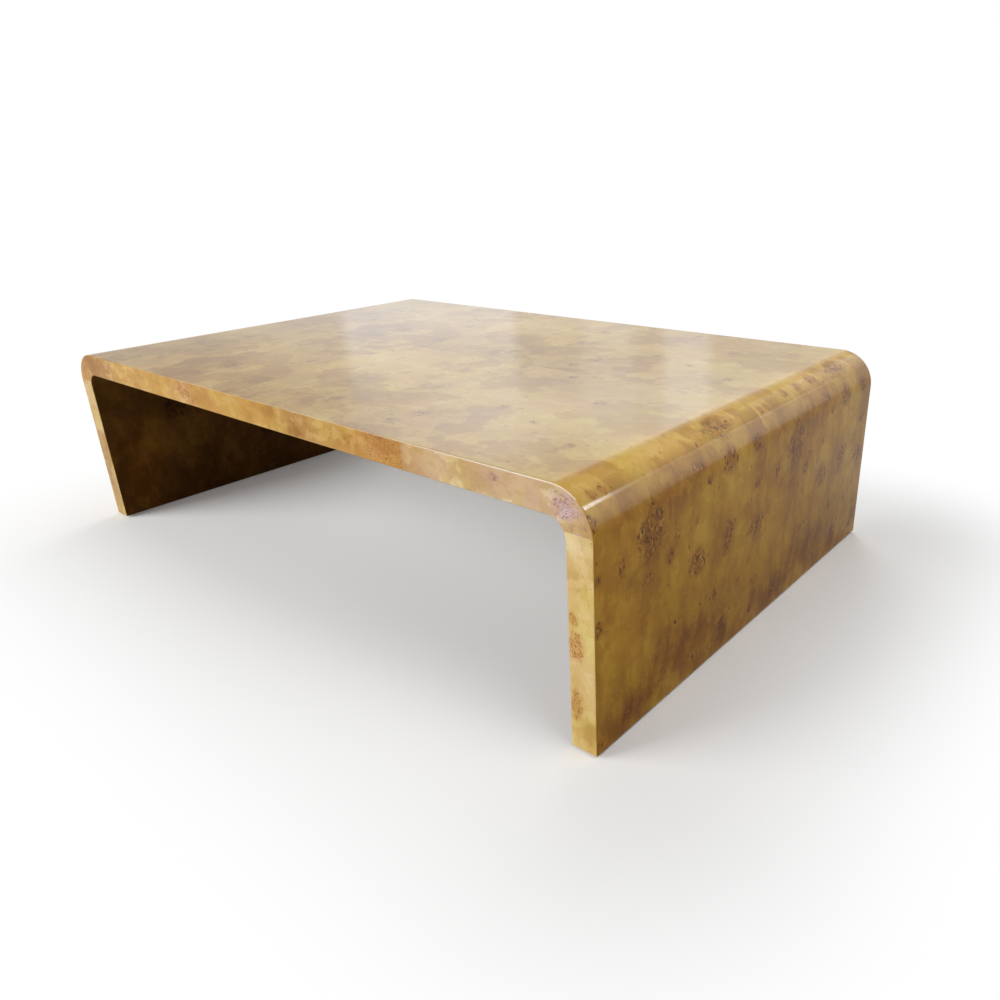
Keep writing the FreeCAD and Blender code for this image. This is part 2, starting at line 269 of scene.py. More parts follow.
def finishMaterial(tree, inputs, height, bump, depth):
    # the surface, with a slight relief that follows the height
    relief = addNode(tree, "ShaderNodeBump", {"Strength": bump, "Distance": depth, "Height": height})
    shader = addNode(tree, "ShaderNodeBsdfPrincipled", dict(inputs, Normal=relief.outputs["Normal"]))
    addNode(tree, "ShaderNodeOutputMaterial", {"Surface": shader.outputs["BSDF"]})


# burl veneer under gloss lacquer: cloudy gold, streaked along the leaf, with clusters of small dark eyes

burlFigure = {
    # noises: cycles per metre across, along and through the leaf, then detail and roughness
    "sway": ((9, 6, 9), 2, 0.5),
    "broad": ((8, 6.5, 8), 7, 0.60),
    "small": ((31, 21, 31), 5, 0.60),
    "ribbon": ((58, 8, 58), 3, 0.55),
    "clouding": ((6, 5, 6), 2, 0.5),
    "grain": ((300, 60, 90), 3, 0.6),
    "cast": ((10, 8, 31), 4, 0.6),
    "rough": ((85, 65, 85), 3, 0.6),
    "jitter": ((60, 50, 60), 2, 0.5),
    "curls": ((82, 48, 40), 1.5, 0.5),
    "dashes": (160, 64, 0),             # and the cells that the dashes lie in
    # how far the figure and its strokes wander, in metres
    "swayReach": (0.035, 0.035, 0),
    "jitterReach": (0.018, 0.018, 0),
    # places along the leaf, in metres: where the leg's look fades in, where the end's cast comes and goes
    "legFade": (0.425, 0.350),
    "endRise": (0.42, 0.47),
    "endFall": (0.72, 0.52),
    # levels between which a border lies
    "crispPlate": (0.46, 0.51), "softPlate": (0.38, 0.60), "smallPlate": (0.47, 0.53),
    "castDrift": (0.40, 0.60),
    "softCloud": (0.0, 1.2), "tornCloud": (0.40, 0.56), "lightCloud": (0.0, -0.8),
    "haloEdge": (0.08, 0.80), "clusterEdge": (0.36, 0.60), "dashEdge": (0.27, 0.15),
    "dashChance": (0.14, 0.20), "loneChance": (0.974, 0.978),
    "curlBreak": (0.48, 0.54), "paleBreak": (0.44, 0.52),
    # bands about a level: the level, then how far they are full and how far they reach
    "seamBand": (0.505, 0.003, 0.012), "curlBand": (0.5, 0.018, 0.040), "paleBand": (0.59, 0.02, 0.06),
    # how much each counts
    "smallShare": 0.28, "cloudingShare": 0.60, "grainShare": 0.12, "haloShare": 0.85, "paleShare": 0.42,
    "topStreak": 0.3, "topEyes": 0.60, "legEyes": 0.95,
    "endCalm": 0.2,                     # how much weaker the tones are near the top's ends
    "flake": 0.7, "flow": 0.8,          # how far plates and ribbons break the border of a soft cloud
    "tear": 2.4,                        # how far the broad noise tears a cloud on the top
    "loneOnLeg": 0.014,                 # how many more lone eyes the leg has
    "reliefShare": 0.8, "reliefStrength": 0.08, "reliefDepth": 0.0002,
}
burlLook = {
    "tones": [(0.20, (0.37, 0.188, 0.030)), (0.44, (0.47, 0.260, 0.043)),
              (0.60, (0.53, 0.315, 0.058)), (0.86, (0.62, 0.420, 0.115))],
    "rosy": (1.01, 0.99, 1.10, 1),      # the two casts that the colour drifts between
    "olive": (0.99, 1.01, 0.88, 1),
    "halo": (0.71, 0.53, 0.35, 1),      # what a cluster leaves of the colour round it
    "shade": (0.66, 0.51, 0.30, 1),     # what a dark cloud leaves of it
    "mild": (0.84, 0.78, 0.58, 1),      # and on the top, where the lacquer has kept them paler
    "bloom": (1.26, 1.33, 1.38, 1),     # what a light cloud makes of it
    "eye": (0.105, 0.036, 0.0, 1),
    "rim": (0.57, 0.37, 0.08, 1),
    "fineness": 1.0,                    # how much finer the strokes are than on the leaf
    # pale colour of arris rubbing, also the painted highlight there and the painted haze on the round
    "rubAndSheenColour": (0.86, 0.80, 0.74, 1),
    "plates": 0.34,
    "ribbon": 0.22,
    "end": (0.86, 0.94, 1.02, 1),       # the cast of the top towards its ends
    "contrast": 0.5,                    # how much stronger the tones are on the leg
    "seam": 0.38,                       # how dark the thin lines round the small plates are
    "roughness": (0.06, 0.12),
    "specular": 0.085,
    "leg": (0.82, 0.70, 0.22, 1),       # painted shade: the leg darker and browner than the top
}
plainTint = (1, 1, 1, 1)
# the left leaf has a milder painted shade on its leg
leftLook = dict(burlLook, leg=(0.86, 0.78, 0.55, 1), end=(0.90, 0.93, 0.97, 1))
stripLook = dict(burlLook, fineness=1.6, plates=0.46, contrast=0.0, seam=0.5, end=plainTint, leg=plainTint)
goldLook = dict(stripLook,
                tones=[(0.15, (0.36, 0.172, 0.034)), (0.42, (0.42, 0.222, 0.044)),
                       (0.62, (0.46, 0.265, 0.060)), (0.90, (0.55, 0.370, 0.130))],
                halo=(1.02, 0.89, 1.10, 1), shade=(0.66, 0.56, 0.52, 1), mild=(0.66, 0.56, 0.52, 1),
                eye=(0.22, 0.080, 0.030, 1))
paleLook = dict(stripLook,
                tones=[(0.15, (0.47, 0.298, 0.094)), (0.42, (0.56, 0.382, 0.128)),
                       (0.62, (0.60, 0.432, 0.160)), (0.90, (0.66, 0.510, 0.226))],
                halo=(0.82, 0.57, 0.46, 1), shade=(0.80, 0.71, 0.58, 1), mild=(0.80, 0.71, 0.58, 1),
                bloom=(1.17, 1.32, 1.90, 1), eye=(0.24, 0.095, 0.032, 1))
tanLook = dict(paleLook,
               tones=[(0.15, (0.336, 0.191, 0.055)), (0.42, (0.395, 0.247, 0.076)),
                      (0.62, (0.428, 0.285, 0.100)), (0.90, (0.496, 0.366, 0.157))])
rosyLook = dict(stripLook,
                tones=[(0.15, (0.39, 0.215, 0.072)), (0.42, (0.45, 0.272, 0.094)),
                       (0.62, (0.50, 0.320, 0.120)), (0.90, (0.58, 0.420, 0.195))],
                halo=(0.85, 0.78, 1.20, 1), shade=(0.92, 0.97, 2.00, 1), mild=(0.92, 0.97, 2.00, 1),
                bloom=(1.16, 1.33, 2.00, 1), eye=(0.20, 0.095, 0.085, 1), seam=0.12)
# painted shade: a near-black copy of the burl for the inner faces, with its bloom as painted light
shadyLook = dict(burlLook,
                 tones=[(0.20, (0.053, 0.020, 0.002)), (0.44, (0.076, 0.031, 0.005)),
                        (0.60, (0.096, 0.041, 0.006)), (0.86, (0.124, 0.058, 0.009))],
                 bloom=(1.70, 1.55, 1.20, 1), eye=(0.014, 0.005, 0.001, 1), rim=(0.07, 0.034, 0.006, 1),
                 roughness=(0.42, 0.52), specular=0.04, leg=plainTint)


def burlGround(tree, leaf, onLeg, nearEnd, look):
    # plates, clouding, ribbons and grain, each about its own middle, add up to a tone that the ramp colours
    figure = burlFigure
    sway = noise(tree, leaf, *figure["sway"])["Color"]
    drift = added(tree, leaf, scaled(tree, sway, figure["swayReach"]))
    # plates: ragged islands where noise crosses a level, in two sizes, the large ones softer on the leg
    broad = noise(tree, drift, *figure["broad"])["Fac"]
    small = noise(tree, drift, *figure["small"])["Fac"]
    large = mixValue(tree, onLeg, stepBetween(tree, broad, *figure["crispPlate"]),
                     stepBetween(tree, broad, *figure["softPlate"]))
    plates = mixValue(tree, figure["smallShare"], large, stepBetween(tree, small, *figure["smallPlate"]))
    ribbon = noise(tree, drift, *figure["ribbon"])["Fac"]
    streak = times(tree, less(tree, ribbon, 0.5), mixValue(tree, onLeg, figure["topStreak"], 1.0))
    clouding = noise(tree, leaf, *figure["clouding"])["Fac"]
    grain = noise(tree, leaf, *figure["grain"])["Fac"]
    lean = times(tree, streak, look["ribbon"])
    for part, share in ((plates, look["plates"]), (clouding, figure["cloudingShare"]),
                        (grain, figure["grainShare"])):
        lean = plus(tree, times(tree, less(tree, part, 0.5), share), lean)
    vivid = mixValue(tree, onLeg, 1.0, 1.0 + look["contrast"])
    vivid = less(tree, vivid, times(tree, nearEnd, figure["endCalm"]))
    colour = ramp(tree, plus(tree, times(tree, lean, vivid), 0.5), look["tones"])
    colour = tinted(tree, nearEnd, colour, look["end"])
    cast = stepBetween(tree, noise(tree, drift, *figure["cast"])["Fac"], *figure["castDrift"])
    colour = tinted(tree, 1.0, colour, mixColour(tree, cast, look["rosy"], look["olive"]))
    seam = times(tree, bandAround(tree, small, *figure["seamBand"]), look["seam"])
    return tinted(tree, seam, colour, look["shade"]), broad, small, plates, streak


def burlClouds(tree, colour, cloud, broad, plates, streak, onLeg, look):
    # the leg's browner tone, then the dark clouds, soft and flaky on the leg and torn on the top, then the
    # light clouds, all by the given mask
    figure = burlFigure
    border = plus(tree, times(tree, less(tree, 0.5, plates), figure["flake"]), 1.0)
    border = less(tree, border, times(tree, streak, figure["flow"]))
    soft = stepBetween(tree, times(tree, cloud, border), *figure["softCloud"])
    torn = plus(tree, cloud, times(tree, less(tree, 0.5, broad), figure["tear"]))
    dusk = mixValue(tree, onLeg, stepBetween(tree, torn, *figure["tornCloud"]), soft)
    # painted shade: the leg's tone darkened and browned against the top
    colour = tinted(tree, onLeg, colour, look["leg"])
    colour = tinted(tree, dusk, colour, mixColour(tree, onLeg, look["mild"], look["shade"]))
    return tinted(tree, stepBetween(tree, cloud, *figure["lightCloud"]), colour, look["bloom"])


def eyeCells(tree, place, scale):
    # distance from the nearest cell's middle, and that cell's own random colour
    inputs = {"Vector": scaled(tree, place, scale), "Scale": 1.0}
    cell = addNode(tree, "ShaderNodeTexVoronoi", inputs, voronoi_dimensions="2D")
    chance = addNode(tree, "ShaderNodeSeparateColor", {0: cell.outputs["Color"]})
    return cell.outputs["Distance"], chance.outputs


def finer(scale, fineness):
    # a scale made finer across and along the leaf, and left as it is through it
    return (scale[0] * fineness, scale[1] * fineness, scale[2])


def burlEyes(tree, colour, leaf, burl, onLeg, look):
    # a cluster is the soft mask broken up by rough noise: a halo, then pale curls, then dark eyes
    figure = burlFigure
    rough = noise(tree, leaf, *figure["rough"])["Fac"]
    ragged = plus(tree, burl, less(tree, rough, 0.5))
    halo = times(tree, stepBetween(tree, ragged, *figure["haloEdge"]), figure["haloShare"])
    colour = tinted(tree, halo, colour, look["halo"])
    # eyes: long dashes at cell middles, and broken curls where a second noise crosses its mean
    jitter = noise(tree, leaf, *figure["jitter"])["Color"]
    wander = added(tree, leaf, scaled(tree, jitter, figure["jitterReach"]))
    away, chance = eyeCells(tree, wander, finer(figure["dashes"], look["fineness"]))
    dash = times(tree, stepBetween(tree, away, *figure["dashEdge"]),
                 stepBetween(tree, chance["Green"], *figure["dashChance"]))
    curlScale, curlDetail, curlRoughness = figure["curls"]
    swirl = noise(tree, wander, finer(curlScale, look["fineness"]), curlDetail, curlRoughness)["Fac"]
    curl = times(tree, bandAround(tree, swirl, *figure["curlBand"]),
                 stepBetween(tree, rough, *figure["curlBreak"]))
    pale = times(tree, bandAround(tree, swirl, *figure["paleBand"]),
                 stepBetween(tree, rough, *figure["paleBreak"]))
    cluster = stepBetween(tree, ragged, *figure["clusterEdge"])
    # lone eyes stand outside the clusters, more of them on the leg
    rare = less(tree, chance["Blue"], times(tree, onLeg, figure["loneOnLeg"]))
    lone = times(tree, dash, stepBetween(tree, rare, *figure["loneChance"]))
    eyes = maths(tree, "MAXIMUM", times(tree, maths(tree, "MAXIMUM", dash, curl), cluster), lone)
    shown = times(tree, eyes, mixValue(tree, onLeg, figure["topEyes"], figure["legEyes"]))
    pale = times(tree, times(tree, pale, cluster), figure["paleShare"])
    colour = mixColour(tree, pale, colour, look["rim"])
    return mixColour(tree, shown, colour, look["eye"]), eyes


def burlVeneer(name, look):
    # ground, clouds, eyes, then rubbing with painted highlight and haze; gloss and relief follow them
    figure = burlFigure
    material, tree = newMaterial(name)
    leaf = readAttribute(tree, "leaf", "Vector")
    burl, cloud, rubAndSheen = (readAttribute(tree, key) for key in ("burl", "cloud", "rubAndSheen"))
    along = addNode(tree, "ShaderNodeSeparateXYZ", {0: leaf}).outputs["Y"]
    onLeg, rise, fall = (stepBetween(tree, along, *figure[key]) for key in ("legFade", "endRise", "endFall"))
    colour, broad, small, plates, streak = burlGround(tree, leaf, onLeg, times(tree, rise, fall), look)
    colour = burlClouds(tree, colour, cloud, broad, plates, streak, onLeg, look)
    colour, eyes = burlEyes(tree, colour, leaf, burl, onLeg, look)
    colour = mixColour(tree, rubAndSheen, colour, look["rubAndSheenColour"])
    dull = mixValue(tree, small, *look["roughness"])
    height = less(tree, times(tree, small, figure["reliefShare"]), eyes)
    inputs = {"Base Color": colour, "Roughness": dull, "Specular IOR Level": look["specular"]}
    finishMaterial(tree, inputs, height, figure["reliefStrength"], figure["reliefDepth"])
    return material


leafVeneer = burlVeneer("leaf_burl_lacquer", burlLook)
leftVeneer = burlVeneer("left_leaf_burl_lacquer", leftLook)
goldEdge = burlVeneer("gold_edge_burl", goldLook)
paleEdge = burlVeneer("pale_edge_burl", paleLook)
tanEdge = burlVeneer("tan_edge_burl", tanLook)
rosyEdge = burlVeneer("rosy_edge_burl", rosyLook)
shadyVeneer = burlVeneer("painted_shade_inner_veneer", shadyLook)
print("veneer materials made")


# outer leaves: one run of veneer from the foot, over the round and along the top to the middle

leafFigure = {
    "spacing": 0.005,
    "roundSpacing": 0.0022,
    "arrisCuts": 6,
    "waviness": 0.00010,        # how deep the hand-rubbed waves go
    "waves": [(71, 23, 0.0), (-31, 83, 1.7), (47, -59, 0.6)],   # radians per metre along, across, and phase
    "slip": 0.470,              # the rear leaf repeats the front leaf's figure this much further across
    "slice": 0.0007,            # how far front and rear leaf lie from the middle of their flitch
    "leftDrift": 0.45,          # how fast the left leaves' figure changes from the middle on
    "rubAndSheenTop": 0.35,             # pale rubbing and painted highlight on the top's arris, and what the right round adds
    "rubAndSheenRound": 0.60,
    "rubAndSheenInset": 0.0002,         # how far the easing has drawn back where rubbing and highlight are full
    "rubAndSheenFrom": 0.40,            # places and lengths along the leaf, in metres
    "roundMid": 0.52,
    "roundReach": 0.20,
    "leftFrom": 0.55,
    "leftOver": 0.35,
    "paintedHaze": 0.075,             # painted reflection: pale haze along the lower half of the round
    "paintedHazeMid": 0.374,
    "paintedHazeReach": 0.018,
    # across from the front edge, along from the foot, two radii, all in mm, and strength
    "burls": [
        (120, 306, 26, 24, 1.0), (148, 298, 24, 22, 1.0), (152, 322, 16, 16, 0.9), (130, 280, 22, 12, 0.9),
        (132, 344, 20, 14, 0.6), (62, 275, 8, 17, 0.9), (200, 277, 9, 18, 0.9), (185, 248, 9, 12, 0.9),
        (80, 246, 7, 9, 0.7), (125, 234, 20, 17, 0.6), (265, 205, 28, 26, 1.0), (360, 224, 19, 20, 1.0),
        (357, 193, 16, 14, 1.0), (455, 200, 26, 23, 1.0), (458, 278, 13, 9, 0.8), (258, 280, 9, 9, 0.7),
        (265, 360, 17, 15, 0.9), (292, 334, 9, 9, 0.9), (358, 348, 26, 23, 1.0), (448, 350, 19, 17, 0.9),
        (360, 408, 46, 25, 1.0), (30, 397, 9, 9, 1.0), (52, 397, 9, 9, 1.0), (320, 120, 13, 16, 0.8),
        (402, 115, 10, 12, 0.8), (350, 50, 19, 17, 0.8), (457, 30, 9, 9, 0.9), (263, 32, 13, 11, 0.7),
        (75, 28, 16, 14, 0.6), (12, 16, 12, 10, 0.6), (4, 362, 12, 14, 0.9), (8, 280, 8, 10, 0.9),
        (10, 205, 12, 16, 0.9), (125, 830, 26, 24, 0.8), (65, 840, 18, 16, 0.7), (225, 740, 16, 16, 0.7),
        (255, 940, 18, 15, 0.7), (450, 775, 15, 15, 0.8), (465, 910, 22, 20, 0.6), (125, 520, 20, 12, 0.7),
        (340, 620, 24, 22, 0.6), (375, 990, 20, 24, 0.6), (300, 1080, 18, 18, 0.5), (190, 640, 14, 14, 0.6)],
    "rearBurls": [(133, 408, 15, 13, 0.9), (190, 408, 15, 13, 0.9), (250, 408, 20, 13, 1.0)],
    # the light band across the whole leaf on the upper round and the broad light cloud mid-top are painted
    # light
    "clouds": [
        (205, 66, 120, 70, 0.78), (150, 340, 70, 30, 1.2), (340, 40, 90, 50, 0.6), (440, 50, 60, 60, 0.5),
        (80, 30, 80, 36, 0.55), (130, 262, 26, 20, 0.6), (60, 180, 50, 60, -0.2), (320, 262, 90, 40, -0.2),
        (95, 1040, 70, 55, 1.0), (60, 880, 50, 30, 0.7), (115, 767, 60, 40, 0.5), (125, 520, 60, 24, 0.5),
        (195, 1110, 60, 40, 0.7), (240, 412, 500, 24, -0.55), (255, 940, 50, 30, 0.5),
        (375, 915, 60, 30, 0.5), (250, 600, 80, 60, -0.2), (420, 700, 70, 50, 0.4),
        (300, 1030, 320, 260, -0.75)],
    # the broad light cloud on the middle of the top is painted light
    "leftClouds": [
        (85, 766, 90, 60, 1.3), (55, 996, 90, 60, 1.2), (86, 515, 90, 60, 1.2), (471, 651, 70, 50, 0.8),
        (375, 916, 60, 40, 0.8), (275, 946, 55, 35, 0.8), (195, 860, 60, 40, -0.3), (300, 700, 80, 50, -0.3),
        (250, 560, 110, 50, 0.8), (40, 640, 60, 50, 0.9), (150, 1080, 60, 50, 0.7), (400, 800, 60, 40, 0.4),
        (300, 1080, 260, 200, -0.75)],
}


def waterfallLine(distance):
    # up the leg at full length, round a quarter circle, then level to the middle: place and outward normal
    corner = np.clip((distance - slab["legRun"]) / slab["outerRadius"], 0, math.pi / 2)
    level = np.clip(distance - slab["legRun"] - slab["arcRun"], 0, None)
    rise = np.clip(distance, 0, slab["legRun"])
    x = slab["topRun"] + slab["outerRadius"] * np.cos(corner) - level
    z = slab["footZ"] + rise + slab["outerRadius"] * np.sin(corner)
    return x, z, np.cos(corner), np.sin(corner)


def leafRubAndSheen(along, inset, side):
    # pale rubbing and a painted highlight on the eased arris, most where the right round meets the top and
    # least by the left one, and a painted reflection of pale haze in a bell along the lower half of the
    # round
    figure = leafFigure
    if side > 0:
        rubAndSheenStrength = figure["rubAndSheenTop"] + figure["rubAndSheenRound"] * bell(along, figure["roundMid"], figure["roundReach"])
    else:
        rubAndSheenStrength = figure["rubAndSheenTop"] * np.clip((along - figure["leftFrom"]) / figure["leftOver"], 0, 1)
    arris = np.clip(inset / figure["rubAndSheenInset"], 0, 1) * (along > figure["rubAndSheenFrom"])
    paintedHaze = figure["paintedHaze"] * bell(along, figure["paintedHazeMid"], figure["paintedHazeReach"])
    return (arris * rubAndSheenStrength + paintedHaze) * (inset < slab["veneer"])


def makeLeaf(node, side, end):
    # the leaf's section, a thin strip with one eased arris, carried along the waterfall line
    half, thin, figure = slab["halfDepth"], slab["veneer"], leafFigure
    run = stations((slab["legRun"], figure["spacing"]), (slab["arcRun"], figure["roundSpacing"]),
                   (slab["topRun"], figure["spacing"]))
    flatWidth = half - slab["easing"]
    flat = stations((flatWidth, figure["spacing"]))
    roundOut, roundIn = arrisRound(figure["arrisCuts"])
    out = np.concatenate([flat, flatWidth + roundOut, [half / 2, 0]])
    inset = np.concatenate([np.zeros(len(flat)), roundIn, [thin, thin]])
    x, z, normalX, normalZ = (part[:, None] for part in waterfallLine(run))
    toMiddle = slab["leafRun"] - run[:, None]
    y = np.broadcast_to(end * out, (len(run), len(out)))
    # the waviness is the mean of its sine waves, only ever inwards
    waves = [np.sin(a * side * toMiddle + b * y + phase) for a, b, phase in figure["waves"]]
    depth = inset + figure["waviness"] * (np.mean(waves, axis=0) / 2 + 0.5) * (inset < thin)
    grid = np.stack([side * (x - depth * normalX), y, z - depth * normalZ], axis=-1)
    mesh = tubeMesh(node + "_veneer", grid)
    across = y + half - (figure["slip"] if end > 0 else 0)
    along = np.broadcast_to(run[:, None], y.shape)
    through = figure["slice"] * end + (figure["leftDrift"] if side < 0 else 0) * toMiddle
    leaf = np.stack([across, along, np.broadcast_to(through, y.shape)], axis=-1)
    burls = figure["burls"] + (figure["rearBurls"] if end > 0 else [])
    marks = figureMarks(across, along, burls, figure["clouds" if side > 0 else "leftClouds"])
    material = leafVeneer if side > 0 else leftVeneer
    return dressPiece(mesh, node, material, leaf, marks, leafRubAndSheen(along, inset, side))


for sideName, side in (("left", -1), ("right", 1)):
    for endName, end in (("front", -1), ("rear", 1)):
        makeLeaf(endName + "_" + sideName + "_leaf", side, end)
print("outer leaves laid")


# edge strips: thin plates on the front and rear edges, jointed under each round and along the top

edgeFigure = {
    "spacing": 0.006,
    "roundCuts": 33,
    "arrisShare": 0.036,        # the share of the width beside each arris that is cut finely
    "arrisCuts": 6,
    "faceShare": 0.08,          # and the share from which the face is cut evenly
    "faceCuts": 11,
    "scale": 1.5,               # the figure is this much finer than on the leaves
    "slice": 2.3,               # which slice of the burl they come from, and how far front and rear differ
    "sliceStep": 0.4,
    "tanShift": 0.5,            # how much further along its figure the tan leg strip is cut
    # in mm, place along the top from the middle or up the leg, inset from the outside and two radii;
    # then strength
    "topBurls": [
        (740, 24, 40, 60, 0.42), (350, 20, 46, 34, 1.0), (385, 34, 20, 20, 0.9), (-262, 16, 34, 26, 0.8),
        (-228, 34, 18, 18, 0.6), (716, 20, 24, 20, 1.0), (588, 16, 18, 12, 0.6), (660, 34, 16, 12, 0.4)],
    "topClouds": [
        # the dark clouds from -740 to -250 are painted shade, darker towards the front edge's left end and
        # the rear's right end
        (-740, 25, 70, 80, 0.35), (-625, 25, 80, 60, 1.25), (-490, 25, 60, 60, 0.40),
        (-250, 25, 60, 50, 0.5), (110, 24, 75, 60, 0.8), (230, 25, 70, 60, 0.5),
        (470, 25, 60, 60, -0.6), (650, 25, 110, 60, -1.05), (766, 30, 24, 60, 1.3)],
    "legBurls": [(176, 33, 26, 13, 1.0), (80, 35, 26, 12, 1.0), (220, 38, 12, 9, 0.8)],
    "legClouds": [
        (45, 24, 45, 60, 0.55), (85, 30, 20, 40, 0.3), (190, 30, 22, 40, 0.3), (230, 25, 26, 60, 0.3),
        (340, 25, 32, 60, -0.62), (680, 20, 200, 60, 0.3), (700, 25, 30, 60, 0.45), (790, 25, 60, 60, 0.15)],
}


def roundAt(inset):
    # centre and radius of the arc at a depth below the outside: of the outer round or of the inner cove
    if inset < slab["thickness"] / 2:
        return slab["topRun"], slab["topZ"] - slab["outerRadius"], slab["outerRadius"] - inset
    reach = slab["innerRadius"]
    return slab["innerX"] - reach, slab["underZ"] - reach, reach + slab["thickness"] - inset


def legBoundary(inset, top):
    # from the foot to the joint: upright, then along the round where the joint lies above its start
    centreX, centreZ, radius = roundAt(inset)
    height = stations((top - slab["footZ"], edgeFigure["spacing"])) + slab["footZ"]
    lift = np.clip(height - centreZ, 0, None)
    return centreX + np.sqrt(radius ** 2 - lift ** 2), height


def cornerBoundary(inset, bottom, joint):
    # from the joint on the leg round to the level run, then on to the joint on the top
    centreX, centreZ, radius = roundAt(inset)
    turn = np.linspace(math.asin((bottom - centreZ) / radius), math.pi / 2, edgeFigure["roundCuts"])
    steps = max(1, round((slab["topRun"] - joint) / edgeFigure["spacing"]))
    level = centreX + (joint - centreX) * np.arange(1, steps + 1) / steps
    x = np.concatenate([centreX + radius * np.cos(turn), level])
    z = np.concatenate([centreZ + radius * np.sin(turn), np.full(steps, centreZ + radius)])
    return x, z


def levelBoundary(inset, left, right):
    # the straight run along the top between two joints
    x = left + stations((right - left, edgeFigure["spacing"]))
    return x, np.full(len(x), slab["topZ"] - inset)


def travelled(line):
    # the distance gone along a line of points
    return np.concatenate([[0], np.cumsum(np.hypot(np.diff(line[0]), np.diff(line[1])))])


def makeStrip(node, end, side, outer, inner, run, material, place):
    # a ruled plate between its outer and inner sides: the face is eased at both arrises, the back is flat
    thin, thick, figure = slab["veneer"], slab["thickness"], edgeFigure
    close = np.linspace(0, figure["arrisShare"], figure["arrisCuts"])
    even = np.linspace(figure["faceShare"], 1 - figure["faceShare"], figure["faceCuts"])
    share = np.concatenate([close, even, 1 - close[::-1], [1, 0]])
    inset = thin + share * (thick - 2 * thin)
    back = eased(inset, slab["easing"]) + eased(thick - inset, slab["easing"])
    back[-2:] = thin
    (outerX, outerZ), (innerX, innerZ) = outer, inner
    x = side * (outerX[:, None] + (innerX - outerX)[:, None] * share)
    z = outerZ[:, None] + (innerZ - outerZ)[:, None] * share
    y = np.broadcast_to(end * (slab["halfDepth"] - back), x.shape)
    mesh = tubeMesh(node + "_veneer", np.stack([x, y, z], axis=-1))
    along = np.broadcast_to(run[:, None], x.shape)
    across = np.broadcast_to(inset, x.shape)
    marks = figureMarks(along, across, figure[place + "Burls"], figure[place + "Clouds"])
    through = np.full(x.shape, figure["slice"] + figure["sliceStep"] * end)
    leaf = np.stack([figure["scale"] * across, figure["scale"] * along, through], axis=-1)
    return dressPiece(mesh, node, material, leaf, marks, np.zeros(x.shape))


def makeEdge(endName, end):
    # the rear edge is the front edge turned half a turn, so its places along the top change sign
    turn = -end
    insets = (slab["veneer"], slab["thickness"] - slab["veneer"])
    for sideName, side in (("left", -1), ("right", 1)):
        rosy = side * turn > 0
        node = endName + "_" + sideName + "_leg_strip"
        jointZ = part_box(node)[1].z
        outer, inner = (legBoundary(inset, jointZ) for inset in insets)
        run = outer[1] + (0 if rosy else edgeFigure["tanShift"])
        makeStrip(node, end, side, outer, inner, run, paleEdge if rosy else tanEdge, "leg")
        node = endName + "_" + sideName + "_corner_strip"
        low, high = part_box(node)
        jointX = low.x if side > 0 else -high.x
        outer, inner = (cornerBoundary(inset, jointZ, jointX) for inset in insets)
        gone = travelled((np.add(outer[0], inner[0]) / 2, np.add(outer[1], inner[1]) / 2))
        run = turn * side * (jointX + gone[-1] - gone)
        makeStrip(node, end, side, outer, inner, run, rosyEdge if rosy else goldEdge, "top")
    node = endName + "_middle_strip"
    low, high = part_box(node)
    outer, inner = (levelBoundary(inset, low.x, high.x) for inset in insets)
    makeStrip(node, end, 1, outer, inner, turn * outer[0], goldEdge, "top")


for endName, end in (("front", -1), ("rear", 1)):
    makeEdge(endName, end)
print("edge strips laid")


# inner veneers: up the inside of each leg, round the cove and along the underside

innerFigure = {
    "spacing": 0.012,
    "coveSpacing": 0.003,
    "arrisCuts": 5,
    "legSlice": 5.0,            # which slice of the burl each comes from
    "underSlice": 7.0,
    # across from the front edge, along from the foot or the left, two radii, all in mm, and strength
    "burls": [
        (180, 240, 40, 34, 0.9), (420, 140, 36, 30, 0.9), (640, 260, 40, 30, 0.8), (820, 120, 34, 30, 0.8)],
    # the light cloud low by the front edge is a painted pool of light; the dark clouds are painted shade
    "clouds": [
        (70, 100, 90, 130, -0.6), (220, 70, 90, 60, 0.5),
        (640, 260, 140, 100, 0.3), (820, 200, 140, 90, 0.2)],
}


def coveLine(distance):
    # up the inner face, then round the cove: place and the normal that faces the space under the table
    reach = slab["innerRadius"]
    rise = slab["underZ"] - reach - slab["footZ"]
    corner = np.clip((distance - rise) / reach, 0, math.pi / 2)
    x = slab["innerX"] - reach + reach * np.cos(corner)
    z = slab["footZ"] + np.clip(distance, 0, rise) + reach * np.sin(corner)
    return x, z, -np.cos(corner), -np.sin(corner)


def makeInner(node, x, z, normalX, normalZ, run, through):
    # a thin strip right across the depth, with both arrises eased down to its glued side, carried on a line
    flatHalf = slab["halfDepth"] - slab["easing"]
    flat = stations((2 * flatHalf, innerFigure["spacing"])) - flatHalf
    roundOut, roundIn = arrisRound(innerFigure["arrisCuts"])
    y = np.concatenate([-(flatHalf + roundOut)[::-1], flat, flatHalf + roundOut])
    depth = np.concatenate([roundIn[::-1], np.zeros(len(flat)), roundIn])
    grid = np.stack([x[:, None] - normalX[:, None] * depth, np.broadcast_to(y, (len(x), len(y))),
                     z[:, None] - normalZ[:, None] * depth], axis=-1)
    mesh = tubeMesh(node + "_sheet", grid)
    across = np.broadcast_to(y + slab["halfDepth"], grid.shape[:2])
    along = np.broadcast_to(run[:, None], grid.shape[:2])
    leaf = np.stack([across, along, np.full(across.shape, through)], axis=-1)
    marks = figureMarks(across, along, innerFigure["burls"], innerFigure["clouds"])
    return dressPiece(mesh, node, shadyVeneer, leaf, marks, np.zeros(across.shape))


